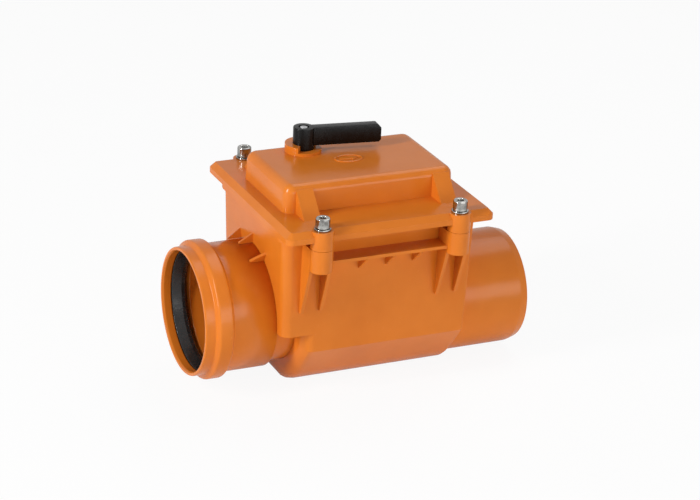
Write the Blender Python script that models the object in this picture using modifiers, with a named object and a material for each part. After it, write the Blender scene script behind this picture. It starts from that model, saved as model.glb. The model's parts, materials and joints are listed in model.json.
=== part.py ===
"""Backwater valve for a 110 mm drain pipe: a bolted plastic chamber with a hanging flap and a locking lever.

The pipe runs along X and water flows towards +X. The front is -Y and the chamber stands on Z = 0.
"""

import math

import bmesh
import bpy
from mathutils import Matrix, Vector

MM = 0.001
DEGREE = math.pi / 180

# Facets round each kind of shape
PIPE_STEPS = 48
RING_STEPS = 32
BOSS_STEPS = 20
SMALL_STEPS = 12

# Clearances
GAP = 0.3 * MM
RUNNING_GAP = 1.0 * MM

# Pipe ends
PIPE_RADIUS = 55.0 * MM
PIPE_WALL = 3.2 * MM
SPIGOT_LENGTH = 76.3 * MM
SPIGOT_CHAMFER_LENGTH = 8.0 * MM
SPIGOT_CHAMFER_DEPTH = 2.2 * MM
SPIGOT_INSIDE = 8.0 * MM
INLET_RISE = 16.9 * MM
SOCKET_LENGTH = 64.0 * MM
SOCKET_WALL = 3.7 * MM
SOCKET_BACK = 4.0 * MM
LIP_LENGTH = 9.6 * MM
BEAD_LENGTH = 17.4 * MM
BEAD_RISE = 4.8 * MM
BEAD_SHOULDER = 2.6 * MM
GROOVE_LEAD = 1.0 * MM
MOUTH_LEAD = 2.0 * MM
MOUTH_EDGE = 2.2 * MM
SEAL_LIP = 2.0 * MM
SEAL_RAMP = 3.0 * MM
SEAL_TAIL = 3.2 * MM
COLLAR_LENGTH = 4.0 * MM

# Chamber
WALL = 3.6 * MM
CHAMBER_LEFT = -94.5 * MM
CHAMBER_MARGIN = 71.0 * MM
CHAMBER_LENGTH = 2 * PIPE_RADIUS + CHAMBER_MARGIN
TROUGH_SETBACK = 19.0 * MM
TROUGH_MARGIN = 4.6 * MM
TROUGH_RADIUS = PIPE_RADIUS + TROUGH_MARGIN
TROUGH_BOW = 12.0 * MM
FOOT_CUT = 2.5 * MM
CREASE_MARGIN = 16.3 * MM
HALF_WIDTH_CREASE = PIPE_RADIUS + CREASE_MARGIN
PARTING_MARGIN = 19.4 * MM
HALF_WIDTH_PARTING = PIPE_RADIUS + PARTING_MARGIN
CREASE_DROP = 6.9 * MM
BOX_FLOOR_RISE = 11.0 * MM
BOX_FLOOR_STEP = 0.2 * MM
PARTING_ABOVE_PIPE = 49.0 * MM
PARTING_RISE = PIPE_RADIUS + PARTING_ABOVE_PIPE
RIM_RISE = 3.8 * MM
END_DRAFT = 0.026
LEFT_CORNER = 9.0 * MM
RIGHT_CORNER = 3.0 * MM

# Chamber bosses, ribs and ledge
BOLT_LEFT = -69.3 * MM
BOLT_END_MARGINS = 47.6 * MM
BOLT_PITCH = CHAMBER_LENGTH - BOLT_END_MARGINS
BOLT_OFF_WALL = 17.6 * MM
BOLT_HALF_WIDTH = HALF_WIDTH_PARTING + BOLT_OFF_WALL
BOSS_RADIUS = 10.4 * MM
BOSS_HEIGHT = 21.0 * MM
RIB_SPREAD = 9.3 * MM
RIB_THICKNESS = 3.2 * MM
RIB_DROP = 47.5 * MM
RIB_TOE = 3.0 * MM
LEDGE_DROP = 13.8 * MM
LEDGE_THICKNESS = 3.0 * MM
LEDGE_REACH = 18.4 * MM
LEDGE_HALF_WIDTH = HALF_WIDTH_PARTING + LEDGE_REACH
LEDGE_GUSSETS = 3
LEDGE_GUSSET_PITCH = 26.5 * MM
LEDGE_GUSSET_SHIFT = 5.5 * MM
LEDGE_GUSSET_HEIGHT = 16.0 * MM
LEDGE_GUSSET_THICKNESS = 2.4 * MM
LEDGE_GUSSET_INSET = 1.0 * MM
FIN_ANGLES = (-27 * DEGREE, 0.0, 27 * DEGREE)
FIN_LENGTH = 13.5 * MM
FIN_HEIGHT = 9.0 * MM
FIN_THICKNESS = 2.6 * MM
FIN_EDGE = 1.2 * MM

# Cover
FLANGE_LEFT = -103.6 * MM
FLANGE_END_OVERHANGS = 20.4 * MM
FLANGE_LENGTH = CHAMBER_LENGTH + FLANGE_END_OVERHANGS
FLANGE_SIDE_OVERHANG = 22.5 * MM
FLANGE_HALF_WIDTH = HALF_WIDTH_PARTING + FLANGE_SIDE_OVERHANG
FLANGE_CORNER = 6.5 * MM
FLANGE_RISE = 7.1 * MM
FLANGE_THICKNESS = 10.1 * MM
FLANGE_CHAMFER = 5.0 * MM
FLANGE_SKIN = 4.5 * MM
SKIRT_THICKNESS = 2.8 * MM
GASKET_WIDTH = 4.8 * MM
LAND_WIDTH = 7.0 * MM
DOME_LEFT = -87.9 * MM
DOME_END_SETBACKS = 13.6 * MM
DOME_LENGTH = CHAMBER_LENGTH - DOME_END_SETBACKS
DOME_SIDE_SETBACK = 23.8 * MM
DOME_HALF_WIDTH = HALF_WIDTH_PARTING - DOME_SIDE_SETBACK
DOME_HEIGHT = 25.6 * MM
DOME_DRAFT = 1.5 * MM
DOME_CORNER = 9.0 * MM
DOME_ROUND = 7.6 * MM
DOME_WALL = 3.5 * MM
WEDGE_WIDTH = 16.0 * MM
WEDGE_REACH = 20.0 * MM
WEDGE_HEIGHT = 21.8 * MM

# Cover bolts
BOLT_RADIUS = 4.0 * MM
BOLT_HEAD_RADIUS = 6.5 * MM
BOLT_HEAD_HEIGHT = 9.2 * MM
BOLT_HEAD_ROUND = 1.0 * MM
BOLT_SOCKET = 6.0 * MM
BOLT_SOCKET_DEPTH = 4.5 * MM
BOLT_BEYOND_INSERT = 1.0 * MM
WASHER_RADIUS = 7.8 * MM
WASHER_THICKNESS = 1.6 * MM
INSERT_RADIUS = 6.0 * MM
INSERT_LENGTH = 12.0 * MM

# Flap, in its own tilted frame
SEAT_TILT = 8.0 * DEGREE
SEAT_SETBACK = 30.5 * MM
HINGE_ABOVE_NECK = 9.0 * MM
HINGE_OFF_SEAT = 5.0 * MM
HINGE_PIN_RADIUS = 2.5 * MM
KNUCKLE_RADIUS = 6.5 * MM
KNUCKLE_HALF_SPREAD = 31.0 * MM
KNUCKLE_WIDTH = 8.0 * MM
EAR_WIDTH = 5.0 * MM
EAR_FOOT = 15.0 * MM
EAR_DROP = 32.0 * MM
EAR_ROUND = (-40 * DEGREE, 190 * DEGREE)
KNUCKLE_ROUND = (-20 * DEGREE, 180 * DEGREE)
FLAP_OVERLAP = 2.5 * MM
FLAP_RADIUS = PIPE_RADIUS + FLAP_OVERLAP
FLAP_THICKNESS = 5.0 * MM
FLAP_RIB_HEIGHT = 4.5 * MM
FLAP_RIB_THICKNESS = 3.0 * MM
FLAP_RING_INSET = 15.0 * MM
FLAP_RING_RADIUS = PIPE_RADIUS - FLAP_RING_INSET
FLAP_BOSS_RADIUS = 11.0 * MM
FLAP_SEAL_THICKNESS = 2.2 * MM
FLAP_SEAL_INSET = 11.0 * MM
FLAP_SEAL_INNER = PIPE_RADIUS - FLAP_SEAL_INSET
RETAINER_INSET = 6.5 * MM
RETAINER_RADIUS = PIPE_RADIUS - RETAINER_INSET
RETAINER_THICKNESS = 3.0 * MM
FLAP_SCREWS = 4
FLAP_SCREW_CIRCLE = 0.7 * FLAP_RING_RADIUS
FLAP_SCREW_RADIUS = 2.0 * MM
FLAP_SCREW_HEAD = 3.8 * MM
FLAP_SCREW_FACE = 3.0 * MM
FLAP_SCREW_HEAD_HEIGHT = 2.4 * MM
TAIL_HEIGHT = 20.0 * MM
TAIL_THICKNESS = 6.0 * MM
PIN_HEAD_RADIUS = 4.0 * MM
PIN_HEAD_HEIGHT = 2.0 * MM
CLIP_RADIUS = 5.0 * MM
CLIP_THICKNESS = 0.9 * MM
CLIP_OPENING = 35.0 * DEGREE
CLIP_GROOVE_DEPTH = 0.7 * MM

# Locking lever
LEVER_X = -36.5 * MM
LEVER_Y = KNUCKLE_HALF_SPREAD
LEVER_TURN = -8.0 * DEGREE
COLLAR_RADIUS = 17.0 * MM
COLLAR_HEIGHT = 7.6 * MM
COLLAR_FLOOR = 1.6 * MM
NOTCH_DEPTH = 5.0 * MM
NOTCH_MARGIN = 3.0 * DEGREE
LEVER_HUB_RADIUS = 9.7 * MM
LEVER_HEIGHT = 23.2 * MM
LEVER_ARM_HEIGHT = 17.6 * MM
LEVER_ARM_WIDTH = 9.0 * MM
LEVER_REACH = 73.0 * MM
LEVER_TIP_CHAMFER = 4.0 * MM
SPINDLE_RADIUS = 7.0 * MM
SPINDLE_SQUARE = 8.0 * MM
SPINDLE_FLANGE_RADIUS = 9.5 * MM
SPINDLE_FLANGE_THICKNESS = 2.6 * MM
SPINDLE_BOSS_RADIUS = 11.0 * MM
SPINDLE_BOSS_DROP = 41.9 * MM
O_RING_SECTION = 0.9 * MM
O_RING_DEPTHS = (10.0 * MM, 20.0 * MM)
CAM_THICKNESS = 7.0 * MM
CAM_HUB_RADIUS = 10.0 * MM
CAM_ARC_WIDTH = 5.0 * MM
CAM_ARC_HALF_ANGLE = 15.0 * DEGREE
CAM_ARM_FROM = 17.0 * DEGREE
CAM_ARM_TO = 38.0 * DEGREE
LOCK_TURN = 90.0 * DEGREE
SCREW_RADIUS = 2.5 * MM
SCREW_HEAD_RADIUS = 4.6 * MM
SCREW_FACE_RADIUS = 3.4 * MM
SCREW_HEAD_HEIGHT = 2.6 * MM
SCREW_LENGTH = 12.0 * MM

# Levels and places that follow from the sizes above
OUTLET_Z = TROUGH_RADIUS - FOOT_CUT
INLET_Z = OUTLET_Z + INLET_RISE
CREASE_Z = OUTLET_Z - CREASE_DROP
BOX_FLOOR_Z = OUTLET_Z + BOX_FLOOR_RISE
PARTING_Z = OUTLET_Z + PARTING_RISE
RIM_Z = PARTING_Z + RIM_RISE
FLANGE_Z = PARTING_Z + FLANGE_RISE
FLANGE_TOP = FLANGE_Z + FLANGE_THICKNESS
DOME_TOP = FLANGE_TOP + DOME_HEIGHT
COLLAR_TOP = DOME_TOP + COLLAR_HEIGHT
HUB_FLOOR_Z = DOME_TOP + COLLAR_FLOOR
LEVER_TOP = DOME_TOP + LEVER_HEIGHT
SPINDLE_BOSS_Z = DOME_TOP - SPINDLE_BOSS_DROP
CAM_TOP = SPINDLE_BOSS_Z - GAP - SPINDLE_FLANGE_THICKNESS - GAP
CAM_Z = CAM_TOP - CAM_THICKNESS
BORE_RADIUS = PIPE_RADIUS - PIPE_WALL
CHAMBER_RIGHT = CHAMBER_LEFT + CHAMBER_LENGTH
TROUGH_LEFT = CHAMBER_LEFT + TROUGH_SETBACK
COLLAR_LEFT = CHAMBER_LEFT - COLLAR_LENGTH
SOCKET_BASE = COLLAR_LEFT - GAP
MOUTH_X = SOCKET_BASE - SOCKET_LENGTH
SOCKET_BORE = PIPE_RADIUS + GAP
BARREL_RADIUS = SOCKET_BORE + SOCKET_WALL
BOLT_XS = (BOLT_LEFT, BOLT_LEFT + BOLT_PITCH)
SIDES = (-1, 1)
BOSS_TOP = PARTING_Z - GAP
INSERT_TOP = BOSS_TOP - GAP
INSERT_Z = INSERT_TOP - INSERT_LENGTH
BOLT_END = INSERT_Z - BOLT_BEYOND_INSERT
SEAT_TOP = Vector((CHAMBER_LEFT + SEAT_SETBACK, 0, INLET_Z + PIPE_RADIUS))
HINGE = SEAT_TOP + Matrix.Rotation(-SEAT_TILT, 3, "Y") @ Vector((HINGE_OFF_SEAT, 0, HINGE_ABOVE_NECK))
FLAP_CENTRE_Z = -(HINGE_ABOVE_NECK + PIPE_RADIUS / math.cos(SEAT_TILT))
FLAP_BACK = GAP + FLAP_SEAL_THICKNESS + GAP - HINGE_OFF_SEAT
FLAP_FRONT = FLAP_BACK + FLAP_THICKNESS
KNUCKLE_END = KNUCKLE_HALF_SPREAD + KNUCKLE_WIDTH / 2
EAR_START = KNUCKLE_END + RUNNING_GAP
EAR_END = EAR_START + EAR_WIDTH


def clear_scene():
    for obj in list(bpy.data.objects):
        bpy.data.objects.remove(obj, do_unlink=True)


def new_collection(name):
    collection = bpy.data.collections.new(name)
    bpy.context.scene.collection.children.link(collection)
    return collection


clear_scene()
PARTS = new_collection("backwater_valve")
TOOLS = new_collection("cutters_and_added_shapes")


def linear(channel):
    return channel / 12.92 if channel <= 0.04045 else ((channel + 0.055) / 1.055) ** 2.4


def finish(name, rgb, roughness, metallic=0.0):
    """A Principled material from an sRGB colour of 0 to 255."""
    material = bpy.data.materials.new(name)
    material.use_nodes = True
    shader = material.node_tree.nodes["Principled BSDF"]
    shader.inputs["Base Color"].default_value = (*(linear(c / 255) for c in rgb), 1)
    shader.inputs["Roughness"].default_value = roughness
    shader.inputs["Metallic"].default_value = metallic
    return material


ORANGE = finish("orange_pvc", (205, 108, 50), 0.32)
BLACK = finish("black_plastic", (38, 30, 30), 0.4)
RUBBER = finish("black_rubber", (28, 27, 27), 0.75)
STEEL = finish("zinc_plated_steel", (196, 196, 192), 0.3, 1.0)
STAINLESS = finish("stainless_steel", (180, 181, 182), 0.35, 1.0)


def helper(name, mesh, frame=None):
    """An object in the collection of cutters and added shapes, hidden in renders."""
    obj = bpy.data.objects.new(name, mesh)
    TOOLS.objects.link(obj)
    obj.parent = frame
    obj.hide_render = True
    obj.display_type = "WIRE"
    return obj


def part(obj, name, material):
    """Makes a helper shape one of the valve's own pieces."""
    TOOLS.objects.unlink(obj)
    PARTS.objects.link(obj)
    obj.name = name
    obj.hide_render = False
    obj.display_type = "TEXTURED"
    obj.data.materials.append(material)
    return obj


def store(name, bm, frame):
    bmesh.ops.recalc_face_normals(bm, faces=bm.faces)
    mesh = bpy.data.meshes.new(name)
    bm.to_mesh(mesh)
    bm.free()
    mesh.shade_smooth()
    mesh.set_sharp_from_angle(angle=35 * DEGREE)
    return helper(name, mesh, frame)


def block(name, low, high, frame=None):
    bm = bmesh.new()
    low, high = Vector(low), Vector(high)
    bmesh.ops.create_cube(bm, size=1)
    bmesh.ops.scale(bm, vec=high - low, verts=bm.verts)
    bmesh.ops.translate(bm, vec=(low + high) / 2, verts=bm.verts)
    return store(name, bm, frame)


def rod(name, radius, start, end, steps=BOSS_STEPS, end_radius=None, frame=None):
    """A cylinder, or a cone, from one point to another."""
    start, end = Vector(start), Vector(end)
    along = end - start
    turn = Vector((0, 0, 1)).rotation_difference(along).to_matrix().to_4x4()
    bm = bmesh.new()
    bmesh.ops.create_cone(
        bm, cap_ends=True, segments=steps, radius1=radius,
        radius2=radius if end_radius is None else end_radius, depth=along.length,
        matrix=Matrix.Translation((start + end) / 2) @ turn,
    )
    return store(name, bm, frame)


def pipe(name, radius, left, right, z):
    """A cylinder that lies along X at a height."""
    return rod(name, radius, (left, 0, z), (right, 0, z), PIPE_STEPS)


def turned(name, profile, steps, closed=True, frame=None):
    """A profile of (radius, height) points turned about Z. It runs down its outer side."""
    bm = bmesh.new()
    points = [bm.verts.new((radius, 0, height)) for radius, height in profile]
    for first, second in zip(points, points[1:]):
        bm.edges.new((first, second))
    if closed:
        bm.edges.new((points[-1], points[0]))
    mesh = bpy.data.meshes.new(name)
    bm.to_mesh(mesh)
    bm.free()
    obj = helper(name, mesh, frame)
    screw = obj.modifiers.new("turn", "SCREW")
    screw.steps = steps
    screw.render_steps = steps
    screw.use_merge_vertices = True
    screw.merge_threshold = 0.00001
    return obj


def lie_along_x(obj, x, z):
    """Turns a shape made about Z so that its axis is a pipe's axis and its heights run towards +X."""
    obj.rotation_euler = (0, math.pi / 2, 0)
    obj.location = (x, 0, z)
    return obj


PLANES = {
    "Z": Matrix.Identity(4),
    "Y": Matrix(((1, 0, 0, 0), (0, 0, 1, 0), (0, 1, 0, 0), (0, 0, 0, 1))),
    "X": Matrix(((0, 0, 1, 0), (1, 0, 0, 0), (0, 1, 0, 0), (0, 0, 0, 1))),
}


def plate(name, outlines, low, high, normal="Z", frame=None):
    """Flat closed outlines, the later ones holes, drawn square to an axis and thick from low to high."""
    curve = bpy.data.curves.new(name, "CURVE")
    curve.dimensions = "2D"
    curve.fill_mode = "BOTH"
    curve.extrude = (high - low) / 2
    for outline in outlines:
        spline = curve.splines.new("POLY")
        spline.points.add(len(outline) - 1)
        for point, (across, up) in zip(spline.points, outline):
            point.co = (across, up, 0, 1)
        spline.use_cyclic_u = True
    drawn = bpy.data.objects.new(name, curve)
    TOOLS.objects.link(drawn)
    graph = bpy.context.evaluated_depsgraph_get()
    mesh = bpy.data.meshes.new_from_object(drawn.evaluated_get(graph))
    bpy.data.objects.remove(drawn)
    bpy.data.curves.remove(curve)
    bm = bmesh.new()
    bm.from_mesh(mesh)
    bpy.data.meshes.remove(mesh)
    bmesh.ops.remove_doubles(bm, verts=bm.verts, dist=0.000001)
    bmesh.ops.translate(bm, vec=(0, 0, (low + high) / 2), verts=bm.verts)
    bmesh.ops.transform(bm, matrix=PLANES[normal], verts=bm.verts)
    if len(outlines) == 1:
        bmesh.ops.dissolve_limit(bm, angle_limit=0.05 * DEGREE, verts=bm.verts, edges=bm.edges)
    return store(name, bm, frame)


def reshape(obj, moved):
    """Moves each corner of a shape to where the function says."""
    for vertex in obj.data.vertices:
        vertex.co = moved(vertex.co.copy())
    return obj


def round_edges(obj, radius, steps, chosen):
    """Rounds the edges whose two ends pass the test; one step makes a chamfer."""
    bm = bmesh.new()
    bm.from_mesh(obj.data)
    edges = [edge for edge in bm.edges if chosen(edge.verts[0].co, edge.verts[1].co)]
    bmesh.ops.bevel(
        bm, geom=edges, offset=radius, offset_type="OFFSET", segments=steps, profile=0.5,
        affect="EDGES", clamp_overlap=True,
    )
    bmesh.ops.recalc_face_normals(bm, faces=bm.faces)
    bm.to_mesh(obj.data)
    bm.free()
    obj.data.shade_smooth()
    obj.data.set_sharp_from_angle(angle=35 * DEGREE)
    return obj


def combine(obj, operation, *tools):
    for tool in tools:
        modifier = obj.modifiers.new(tool.name, "BOOLEAN")
        modifier.operation = operation
        modifier.object = tool
    return obj


def join(obj, *tools):
    return combine(obj, "UNION", *tools)


def cut(obj, *tools):
    return combine(obj, "DIFFERENCE", *tools)


def arc(centre_x, centre_y, radius, start, end, steps):
    """Points along an arc, both ends included."""
    angles = [start + (end - start) * i / steps for i in range(steps + 1)]
    return [(centre_x + radius * math.cos(a), centre_y + radius * math.sin(a)) for a in angles]


def rounded_rectangle(left, right, half, left_radius, right_radius, steps=4):
    """An outline that is symmetric about Y = 0, with its own corner radius at each end."""
    quarter = math.pi / 2
    corners = (
        (right - right_radius, half - right_radius, right_radius, 0),
        (left + left_radius, half - left_radius, left_radius, quarter),
        (left + left_radius, left_radius - half, left_radius, 2 * quarter),
        (right - right_radius, right_radius - half, right_radius, 3 * quarter),
    )
    outline = []
    for x, y, radius, start in corners:
        outline += arc(x, y, radius, start, start + quarter, steps)
    return outline


def wall_half_width(z):
    rise = (z - CREASE_Z) / (PARTING_Z - CREASE_Z)
    return HALF_WIDTH_CREASE + rise * (HALF_WIDTH_PARTING - HALF_WIDTH_CREASE)


def end_draft(z):
    """How far an end wall leans outwards at a height."""
    return END_DRAFT * max(0, z - CREASE_Z)


def rim_outline(offset, z):
    """The chamber's outer outline at a height, grown by an offset."""
    return rounded_rectangle(
        CHAMBER_LEFT - end_draft(z) - offset, CHAMBER_RIGHT + end_draft(z) + offset,
        wall_half_width(z) + offset, max(LEFT_CORNER + offset, GAP), max(RIGHT_CORNER + offset, GAP),
    )


def chamber_section(inset, top):
    """The chamber's (y, z) section: near-upright walls, flat facets and an arc about the outlet's axis."""
    drop = CREASE_Z - OUTLET_Z
    reach = math.hypot(HALF_WIDTH_CREASE, drop)
    facet = math.pi / 2 + math.atan2(drop, HALF_WIDTH_CREASE) - math.acos(TROUGH_RADIUS / reach)
    radius = TROUGH_RADIUS - inset
    touch_y, touch_z = radius * math.sin(facet), OUTLET_Z - radius * math.cos(facet)
    lean = (HALF_WIDTH_PARTING - HALF_WIDTH_CREASE) / (PARTING_Z - CREASE_Z)
    along = (wall_half_width(touch_z) - inset - touch_y) / (math.cos(facet) - lean * math.sin(facet))
    crease = (touch_y + along * math.cos(facet), touch_z + along * math.sin(facet))
    flat = math.acos((OUTLET_Z - inset) / radius)
    right = [(wall_half_width(top) - inset, top), crease]
    right += arc(0, OUTLET_Z, radius, facet - math.pi / 2, flat - math.pi / 2, 6)
    return right + [(-y, z) for y, z in reversed(right)]


def chamber_mass(name, inset, top):
    """The trough with the box that juts out over the inlet, as one solid shrunk by an inset."""
    left, right, trough_left = CHAMBER_LEFT + inset, CHAMBER_RIGHT - inset, TROUGH_LEFT + inset
    floor = BOX_FLOOR_Z + inset
    shape = plate(name, [chamber_section(inset, top)], trough_left, right, "X")
    bm = bmesh.new()
    bm.from_mesh(shape.data)
    for level_z in (floor - BOX_FLOOR_STEP, floor):
        everything = bm.verts[:] + bm.edges[:] + bm.faces[:]
        bmesh.ops.bisect_plane(bm, geom=everything, plane_co=(0, 0, level_z), plane_no=(0, 0, 1))
    bm.faces.ensure_lookup_table()
    jutting = [
        face for face in bm.faces
        if face.normal.x < -0.99 and face.calc_center_median().z > floor
    ]
    grown = bmesh.ops.extrude_face_region(bm, geom=jutting)["geom"]
    corners = [item for item in grown if isinstance(item, bmesh.types.BMVert)]
    bmesh.ops.translate(bm, vec=(left - trough_left, 0, 0), verts=corners)
    bmesh.ops.delete(bm, geom=jutting, context="FACES_ONLY")
    bm.to_mesh(shape.data)
    bm.free()

    def level(first, second):
        return abs(first.z - second.z) < MM / 10 and abs(first.y - second.y) > WALL and first.z > CREASE_Z

    def on_end(x, first, second):
        return abs(first.x - x) < MM / 10 and abs(second.x - x) < MM / 10 and not level(first, second)

    round_edges(shape, LEFT_CORNER - inset, 4, lambda a, b: on_end(left, a, b))
    below = floor - BOX_FLOOR_STEP / 2
    round_edges(
        shape, TROUGH_BOW - inset, 4, lambda a, b: on_end(trough_left, a, b) and max(a.z, b.z) < below,
    )
    if inset < RIGHT_CORNER:
        round_edges(shape, RIGHT_CORNER - inset, 2, lambda a, b: on_end(right, a, b))
    middle = (left + right) / 2

    def drafted(co):
        if co.x < trough_left - MM / 10 or co.x > middle:
            co.x += math.copysign(end_draft(co.z), co.x - middle)
        return co

    return reshape(shape, drafted)


def bolt_places():
    return [(x, side * BOLT_HALF_WIDTH, side) for x in BOLT_XS for side in SIDES]


def side_features():
    """Bosses, ribs and ledges on the front and back walls of the chamber."""
    shapes = []
    boss_z = BOSS_TOP - BOSS_HEIGHT
    rib_z = boss_z - RIB_DROP
    for index, (x, y, side) in enumerate(bolt_places()):
        shapes.append(rod(f"boss_{index}", BOSS_RADIUS, (x, y, boss_z), (x, y, BOSS_TOP)))
        wall = side * (wall_half_width(rib_z) - WALL / 2)
        toe = wall + side * (WALL / 2 + RIB_TOE)
        profile = [(wall, BOSS_TOP), (y, BOSS_TOP), (y, boss_z), (toe, rib_z), (wall, rib_z)]
        for spread in (-RIB_SPREAD, RIB_SPREAD):
            middle = x + spread
            shapes.append(
                plate(f"rib_{index}", [profile], middle - RIB_THICKNESS / 2, middle + RIB_THICKNESS / 2, "X")
            )
    ledge_top = PARTING_Z - LEDGE_DROP
    ledge_z = ledge_top - LEDGE_THICKNESS
    middle = (BOLT_XS[0] + BOLT_XS[1]) / 2
    for side in SIDES:
        inner, outer = side * (wall_half_width(ledge_z) - WALL / 2), side * LEDGE_HALF_WIDTH
        low, high = sorted((inner, outer))
        shapes.append(block("ledge", (BOLT_XS[0], low, ledge_z), (BOLT_XS[1], high, ledge_top)))
        for index in range(LEDGE_GUSSETS):
            x = middle + LEDGE_GUSSET_SHIFT + (index - (LEDGE_GUSSETS - 1) / 2) * LEDGE_GUSSET_PITCH
            foot = ledge_z - LEDGE_GUSSET_HEIGHT
            reach, toe = outer - side * LEDGE_GUSSET_INSET, inner + side * WALL / 2
            profile = [
                (inner, ledge_z + MM), (reach, ledge_z + MM), (reach, ledge_z), (toe, foot), (inner, foot),
            ]
            half = LEDGE_GUSSET_THICKNESS / 2
            shapes.append(plate(f"ledge_gusset_{index}", [profile], x - half, x + half, "X"))
    return shapes


def collar_fins():
    """Small gussets that stand on the box's left wall, over the top of the inlet collar."""
    wall = CHAMBER_LEFT - end_draft(INLET_Z + BARREL_RADIUS)
    clear = BARREL_RADIUS + 2 * GAP
    profile = [
        (CHAMBER_LEFT, clear), (CHAMBER_LEFT, clear + FIN_HEIGHT), (wall, clear + FIN_HEIGHT),
        (wall - FIN_LENGTH, clear + FIN_EDGE), (wall - FIN_LENGTH, clear),
    ]
    fins = []
    for angle in FIN_ANGLES:
        fin = plate("collar_fin", [profile], -FIN_THICKNESS / 2, FIN_THICKNESS / 2, "Y")
        fin.rotation_euler = (angle, 0, 0)
        fin.location = (0, 0, INLET_Z)
        fins.append(fin)
    return fins


def seat_frame():
    """An empty on the hinge's axis, tilted with the seat. Its -Z runs down the seat and its +X downstream."""
    empty = bpy.data.objects.new("seat_frame", None)
    TOOLS.objects.link(empty)
    empty.location = HINGE
    empty.rotation_euler = (0, -SEAT_TILT, 0)
    return empty


def inlet_seat():
    """The pipe from the socket to the flap's tilted seat, with a collar outside and two hinge ears."""
    frame = seat_frame()
    reach = CHAMBER_LEFT + SEAT_SETBACK + 3 * PIPE_RADIUS * math.tan(SEAT_TILT)
    seat = part(pipe("tube", PIPE_RADIUS, COLLAR_LEFT, reach, INLET_Z), "inlet_seat", ORANGE)
    join(seat, pipe("collar", BARREL_RADIUS, COLLAR_LEFT, CHAMBER_LEFT, INLET_Z))
    beyond = 4 * PIPE_RADIUS
    cut(seat, block("past_seat", (-HINGE_OFF_SEAT, -beyond, -beyond), (beyond, beyond, beyond), frame))
    for side in SIDES:
        outline = arc(0, 0, KNUCKLE_RADIUS, *EAR_ROUND, 10)
        outline += [(-HINGE_OFF_SEAT - EAR_FOOT, -EAR_DROP), (-HINGE_OFF_SEAT - GAP, -EAR_DROP)]
        outline += [(-HINGE_OFF_SEAT - GAP, -KNUCKLE_RADIUS - EAR_WIDTH)]
        low, high = sorted((side * EAR_START, side * EAR_END))
        join(seat, plate("hinge_ear", [outline], low, high, "Y", frame))
    pin_line = ((0, -2 * EAR_END, 0), (0, 2 * EAR_END, 0))
    return cut(
        seat,
        pipe("seat_bore", BORE_RADIUS, COLLAR_LEFT - MM, reach + MM, INLET_Z),
        rod("pin_bore", HINGE_PIN_RADIUS + GAP, *pin_line, SMALL_STEPS, frame=frame),
    )


def valve_chamber():
    body = part(chamber_mass("chamber", 0, RIM_Z), "valve_chamber", ORANGE)
    cut(body, chamber_mass("hollow", WALL, RIM_Z + WALL))
    join(body, *side_features(), *collar_fins())
    opening = PIPE_RADIUS + GAP
    cut(
        body,
        pipe("collar_recess", BARREL_RADIUS + GAP, COLLAR_LEFT, CHAMBER_LEFT + GAP, INLET_Z),
        pipe("seat_opening", opening, COLLAR_LEFT, TROUGH_LEFT + FLAP_RADIUS, INLET_Z),
        pipe("outlet_opening", opening, CHAMBER_RIGHT - SPIGOT_INSIDE, CHAMBER_RIGHT + WALL, OUTLET_Z),
    )
    for x, y, _side in bolt_places():
        cut(
            body,
            rod("insert_pocket", INSERT_RADIUS + GAP, (x, y, INSERT_Z - GAP), (x, y, RIM_Z), SMALL_STEPS),
            rod("bolt_hole", BOLT_RADIUS + GAP, (x, y, BOLT_END - GAP), (x, y, RIM_Z), SMALL_STEPS),
        )
    return body


def inlet_socket():
    """Push-fit socket for an incoming pipe, with the bead that holds its rubber ring."""
    length = SOCKET_LENGTH
    bead_start = LIP_LENGTH
    bead_end = LIP_LENGTH + BEAD_LENGTH
    groove_start = LIP_LENGTH - GROOVE_LEAD
    groove = SOCKET_BORE + BEAD_RISE
    crest = BARREL_RADIUS + BEAD_RISE
    outer = [
        (SOCKET_BORE + MOUTH_LEAD / 2 + MOUTH_EDGE, 0), (BARREL_RADIUS, MOUTH_EDGE / 2),
        (BARREL_RADIUS, bead_start), (crest, bead_start + BEAD_SHOULDER), (crest, bead_end - BEAD_SHOULDER),
        (BARREL_RADIUS, bead_end), (BARREL_RADIUS, length),
    ]
    inner = [
        (BORE_RADIUS, length), (BORE_RADIUS, length - SOCKET_BACK), (SOCKET_BORE, length - SOCKET_BACK),
        (SOCKET_BORE, bead_end), (groove, bead_end - BEAD_SHOULDER), (groove, groove_start + BEAD_SHOULDER),
        (SOCKET_BORE, groove_start), (SOCKET_BORE, MOUTH_LEAD), (SOCKET_BORE + MOUTH_LEAD / 2, 0),
    ]
    profile = [(radius, height) for radius, height in reversed(outer + inner)]
    return lie_along_x(part(turned("socket", profile, PIPE_STEPS), "inlet_socket", ORANGE), MOUTH_X, INLET_Z)


def socket_seal():
    """Rubber ring that fills the bead's groove, with a lip that the pipe presses outwards."""
    front = LIP_LENGTH - GROOVE_LEAD + 2 * GAP
    end = LIP_LENGTH + BEAD_LENGTH - BEAD_SHOULDER - GAP
    groove = SOCKET_BORE + BEAD_RISE - GAP
    lip = PIPE_RADIUS - SEAL_LIP
    profile = [
        (groove, end), (groove, front + BEAD_SHOULDER), (SOCKET_BORE - GAP, front),
        (lip, front + SEAL_RAMP), (lip, end - SEAL_TAIL), (SOCKET_BORE - GAP, end),
    ]
    return lie_along_x(part(turned("seal", profile, PIPE_STEPS), "socket_seal", RUBBER), MOUTH_X, INLET_Z)


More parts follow.
